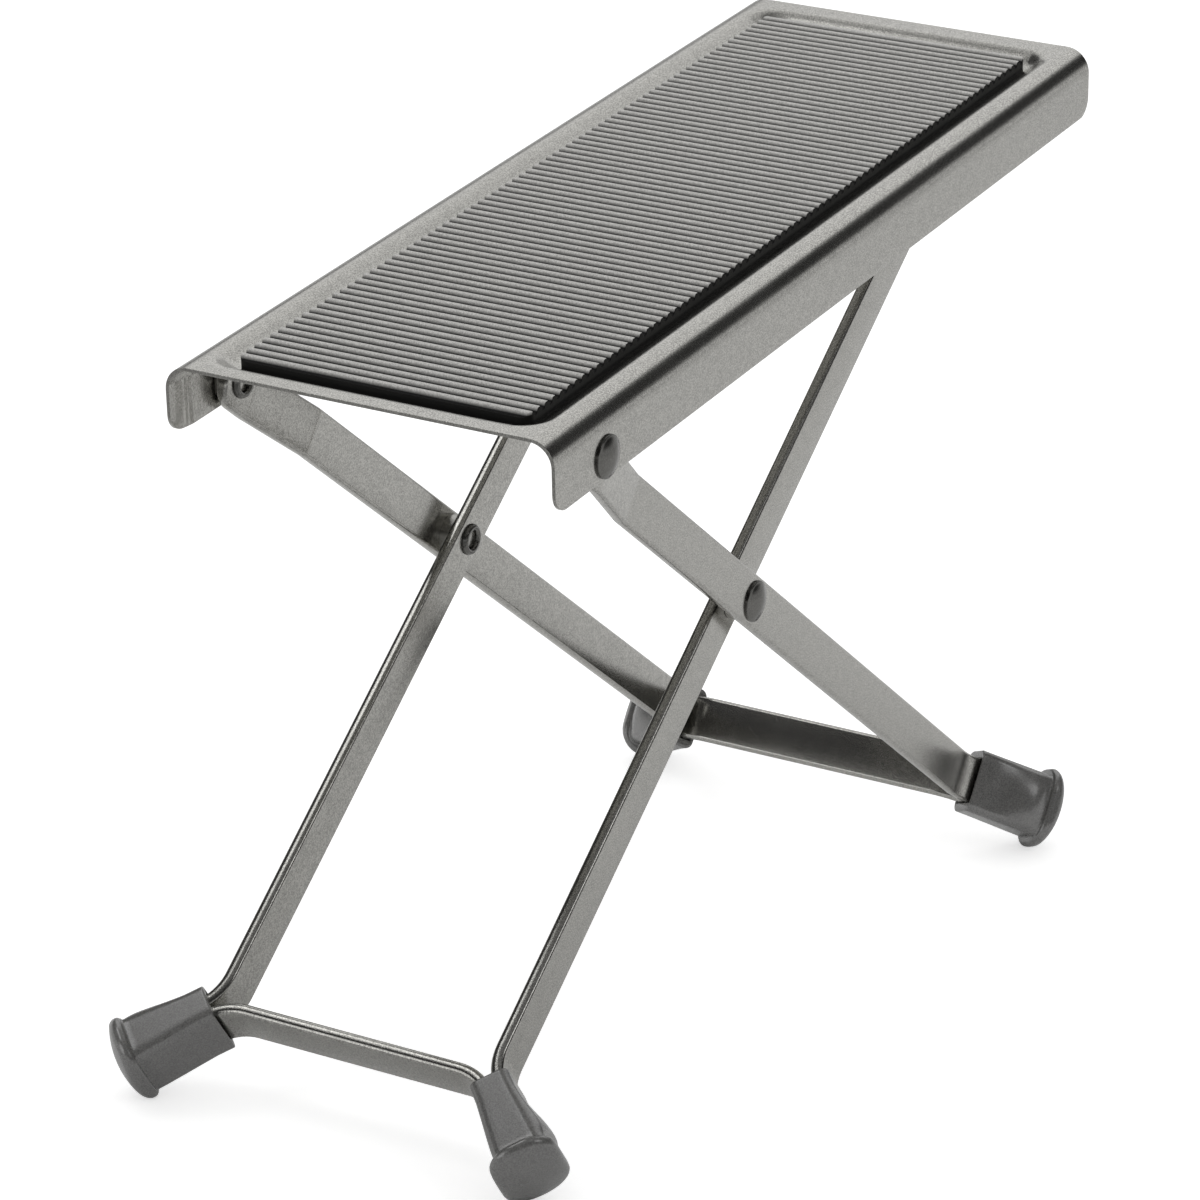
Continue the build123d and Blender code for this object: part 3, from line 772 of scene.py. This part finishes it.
tread_shape = tread_surface()
tread = make_piece("tread_sheet", on_tread(tread_shape[0]), tread_shape[1])
thin_ends(tread)
thickness = tread.modifiers.new("sheet thickness", "SOLIDIFY")
thickness.thickness = SHEET * MM
thickness.offset = -1.0
thickness.use_even_offset = True
thickness.vertex_group = "thickness"
edges = tread.modifiers.new("rounded sheet edge", "BEVEL")
edges.width = SHEET_EDGE_ROUND * MM
edges.segments = 3
edges.limit_method = "ANGLE"
edges.angle_limit = radians(50)
finish_piece(tread, "tread", "tread_steel", tread_steel, "tread_plate")

mat_shape = mat_surface()
mat = make_piece("ribbed_mat", on_tread(mat_shape[0]), mat_shape[1], crease=50)
finish_piece(mat, "tread", "mat_rubber", mat_rubber, "tread_mat")

for name, body, shape, place in (
        ("outer_bar", "outer_legs", outer_frame_surface(), on_outer_frame),
        ("inner_bar", "inner_legs", inner_frame_surface(), on_inner_frame)):
    bar = make_piece(name, place(shape[0]), shape[1], crease=60)
    finish_piece(bar, body, "frame_steel", frame_steel, name.replace("bar", "frame"))

foot_shapes = {side: foot_surface(side) for side in (1, -1)}
for side, hand in ((1, "left"), (-1, "right")):
    for which, body, half_width, reach, place in (
            ("outer", "outer_legs", OUTER_HALF_WIDTH, CROSSING_TO_OUTER_BAR, on_outer_frame),
            ("inner", "inner_legs", INNER_HALF_WIDTH, CROSSING_TO_INNER_BAR, on_inner_frame)):
        points = place(foot_points(foot_shapes[side][0], half_width, reach, side))
        points[:, 2] = np.maximum(points[:, 2], cad_box[0][2])
        foot = make_piece(f"{which}_{hand}_rubber_foot", points, foot_shapes[side][1], crease=40)
        finish_piece(foot, body, "foot_rubber", foot_rubber, f"{which}_{hand}_foot")
    for which, body, y, grip, joint in (
            ("pivot", "tread", TREAD_WIDTH / 2, PIVOT_GRIP, "fold"),
            ("crossing", "outer_legs", OUTER_HALF_WIDTH, CROSSING_GRIP, "scissor")):
        points, quads = turned(rivet_profile(grip))
        points = to_row(rivet_points(points, y, side), TREAD_ANGLE, joints[joint])
        rivet = make_piece(f"{hand}_{which}_rivet_turned", points, quads, crease=50)
        finish_piece(rivet, body, "rivet_steel", rivet_steel, f"{hand}_{which}_rivet")
    for kind in ("pivot_washer", "crossing_spacer", "rod_washer"):
        paint(nodes[f"{hand}_{kind}"], washer_steel)
    paint(nodes[f"{hand}_rack"], tread_steel)
paint(nodes["lock_rod"], rod_steel)

# Floor, world and lamps. FLOOR_IN_GLOSS is two places along X and the grey level at each, a painted
# shade that makes the floor darker in gloss in front of the footrest. The edges are heights, as a
# direction's Z, between which one light fades into the next, and the panel's are angles from its
# middle.

FLOOR_REACH = 6.0
FLOOR_COLOR = 0.9
FLOOR_ROUGHNESS = 0.9
FLOOR_GLOW = 0.55
FLOOR_IN_GLOSS = (-0.4, 0.05, 0.4, 0.96)
ROOM_LIGHT = 0.56
ROOM_DARK = 0.035
CEILING_LIGHT = 0.2
CEILING_EDGE = (0.72, 0.97)
SWEEP_LIGHT = 0.62
SWEEP_EDGE = (0.07, 0.24)
PANEL_LIGHT = 0.45
PANEL_AZIMUTH = 18.0
PANEL_ELEVATION = 38.0
PANEL_EDGE = (24.0, 34.0)


def pale_floor():
    """A matt floor that keeps shadows and comes out white for the camera. Gloss sees it matt too,
    with its shadows, and with a painted shade that makes it darker in front of the footrest than
    behind it."""
    material = bpy.data.materials.new("pale floor")
    material.use_nodes = True
    tree = material.node_tree
    link = tree.links.new
    surface = tree.nodes["Principled BSDF"]
    set_inputs(surface, {"Base Color": (FLOOR_COLOR, FLOOR_COLOR, FLOOR_COLOR, 1),
                         "Roughness": FLOOR_ROUGHNESS, "Emission Color": (1, 1, 1, 1)})
    path = tree.nodes.new("ShaderNodeLightPath")
    glow = math_node(tree, "MULTIPLY", path.outputs["Is Camera Ray"], FLOOR_GLOW)
    link(glow, surface.inputs["Emission Strength"])
    place = tree.nodes.new("ShaderNodeTexCoord")
    along = tree.nodes.new("ShaderNodeSeparateXYZ")
    link(place.outputs["Object"], along.inputs[0])
    # Painted shade: in gloss the floor's colour darkens along X towards the front of the footrest.
    in_gloss = tree.nodes.new("ShaderNodeBsdfDiffuse")
    link(step_node(tree, along.outputs["X"], *FLOOR_IN_GLOSS), in_gloss.inputs["Color"])
    either = tree.nodes.new("ShaderNodeMixShader")
    link(path.outputs["Is Glossy Ray"], either.inputs[0])
    link(surface.outputs[0], either.inputs[1])
    link(in_gloss.outputs[0], either.inputs[2])
    link(either.outputs[0], tree.nodes["Material Output"].inputs["Surface"])
    return material


floor_mesh = bpy.data.meshes.new("floor")
floor_corners = ((-1, -1), (1, -1), (1, 1), (-1, 1))
floor_points = [(x * FLOOR_REACH, y * FLOOR_REACH, 0) for x, y in floor_corners]
floor_mesh.from_pydata(floor_points, [], [(0, 1, 2, 3)])
floor = bpy.data.objects.new("floor", floor_mesh)
bpy.context.scene.collection.objects.link(floor)
floor_mesh.materials.append(pale_floor())


def studio_world():
    """In gloss: a large round panel of light behind and above the footrest, a low white sweep and
    a faintly lit ceiling, in a dark room. The camera sees plain white, and scattered light comes
    evenly from all round."""
    world = bpy.data.worlds.new("studio")
    bpy.context.scene.world = world
    world.use_nodes = True
    tree = world.node_tree
    link = tree.links.new
    background = tree.nodes["Background"]
    background.inputs["Color"].default_value = (1, 1, 1, 1)
    direction = tree.nodes.new("ShaderNodeTexCoord").outputs["Generated"]
    toward = tree.nodes.new("ShaderNodeVectorMath")
    toward.operation = "DOT_PRODUCT"
    up, turn = radians(PANEL_ELEVATION), radians(PANEL_AZIMUTH)
    toward.inputs[1].default_value = (cos(up) * cos(turn), cos(up) * sin(turn), sin(up))
    link(direction, toward.inputs[0])
    inner, outer = (cos(radians(angle)) for angle in PANEL_EDGE)
    panel = step_node(tree, toward.outputs["Value"], outer, inner, ROOM_DARK, PANEL_LIGHT)
    height = tree.nodes.new("ShaderNodeSeparateXYZ")
    link(direction, height.inputs[0])
    sweep = step_node(tree, height.outputs["Z"], *SWEEP_EDGE, SWEEP_LIGHT, ROOM_DARK)
    ceiling = step_node(tree, height.outputs["Z"], *CEILING_EDGE, ROOM_DARK, CEILING_LIGHT)
    room = math_node(tree, "MAXIMUM", math_node(tree, "MAXIMUM", panel, ceiling), sweep)
    path = tree.nodes.new("ShaderNodeLightPath")
    by_gloss = tree.nodes.new("ShaderNodeMix")
    by_gloss.inputs["A"].default_value = ROOM_LIGHT
    by_camera = tree.nodes.new("ShaderNodeMix")
    by_camera.inputs["B"].default_value = 1.0
    link(path.outputs["Is Glossy Ray"], by_gloss.inputs["Factor"])
    link(room, by_gloss.inputs["B"])
    link(path.outputs["Is Camera Ray"], by_camera.inputs["Factor"])
    link(by_gloss.outputs["Result"], by_camera.inputs["A"])
    link(by_camera.outputs["Result"], background.inputs["Strength"])


studio_world()


def softbox(name, place, target, size, power):
    lamp = bpy.data.lights.new(name, "AREA")
    lamp.shape = "RECTANGLE"
    lamp.size, lamp.size_y = size
    lamp.energy = power
    light = bpy.data.objects.new(name, lamp)
    bpy.context.scene.collection.objects.link(light)
    light.location = place
    light.rotation_euler = (Vector(target) - Vector(place)).to_track_quat("-Z", "Y").to_euler()


softbox("key", (0.98, 0.32, 1.35), (0, 0, 0.12), (1.7, 1.7), 4.5)
softbox("side", (-0.2, -1.15, 1.05), (0, 0, 0.1), (0.5, 0.4), 0.9)
softbox("fill", (-1.3, 0.7, 0.5), (0, 0, 0.1), (0.9, 0.7), 2.2)
softbox("top", (-0.29, 0.72, 1.45), (0, 0, 0.1), (0.5, 0.5), 1.5)

# Camera, from a fit of the tread's and the frames' edges in the photograph

CAMERA_PLACE = (-1.079956, -0.564812, 0.523793)
CAMERA_RIGHT = (0.481415, -0.875528, 0.041113)
CAMERA_UP = (0.270509, 0.193030, 0.943167)
CAMERA_BACK = (-0.833705, -0.442934, 0.329766)
CAMERA_LENS = 150.921

view = bpy.data.cameras.new("camera")
view.lens = CAMERA_LENS
view.sensor_width = 36
view.clip_start = 0.05
camera = bpy.data.objects.new("camera", view)
bpy.context.scene.collection.objects.link(camera)
turn = Matrix((CAMERA_RIGHT, CAMERA_UP, CAMERA_BACK)).transposed()
camera.matrix_world = Matrix.Translation(CAMERA_PLACE) @ turn.to_4x4()
bpy.context.scene.camera = camera
bpy.context.scene.view_settings.view_transform = "Standard"
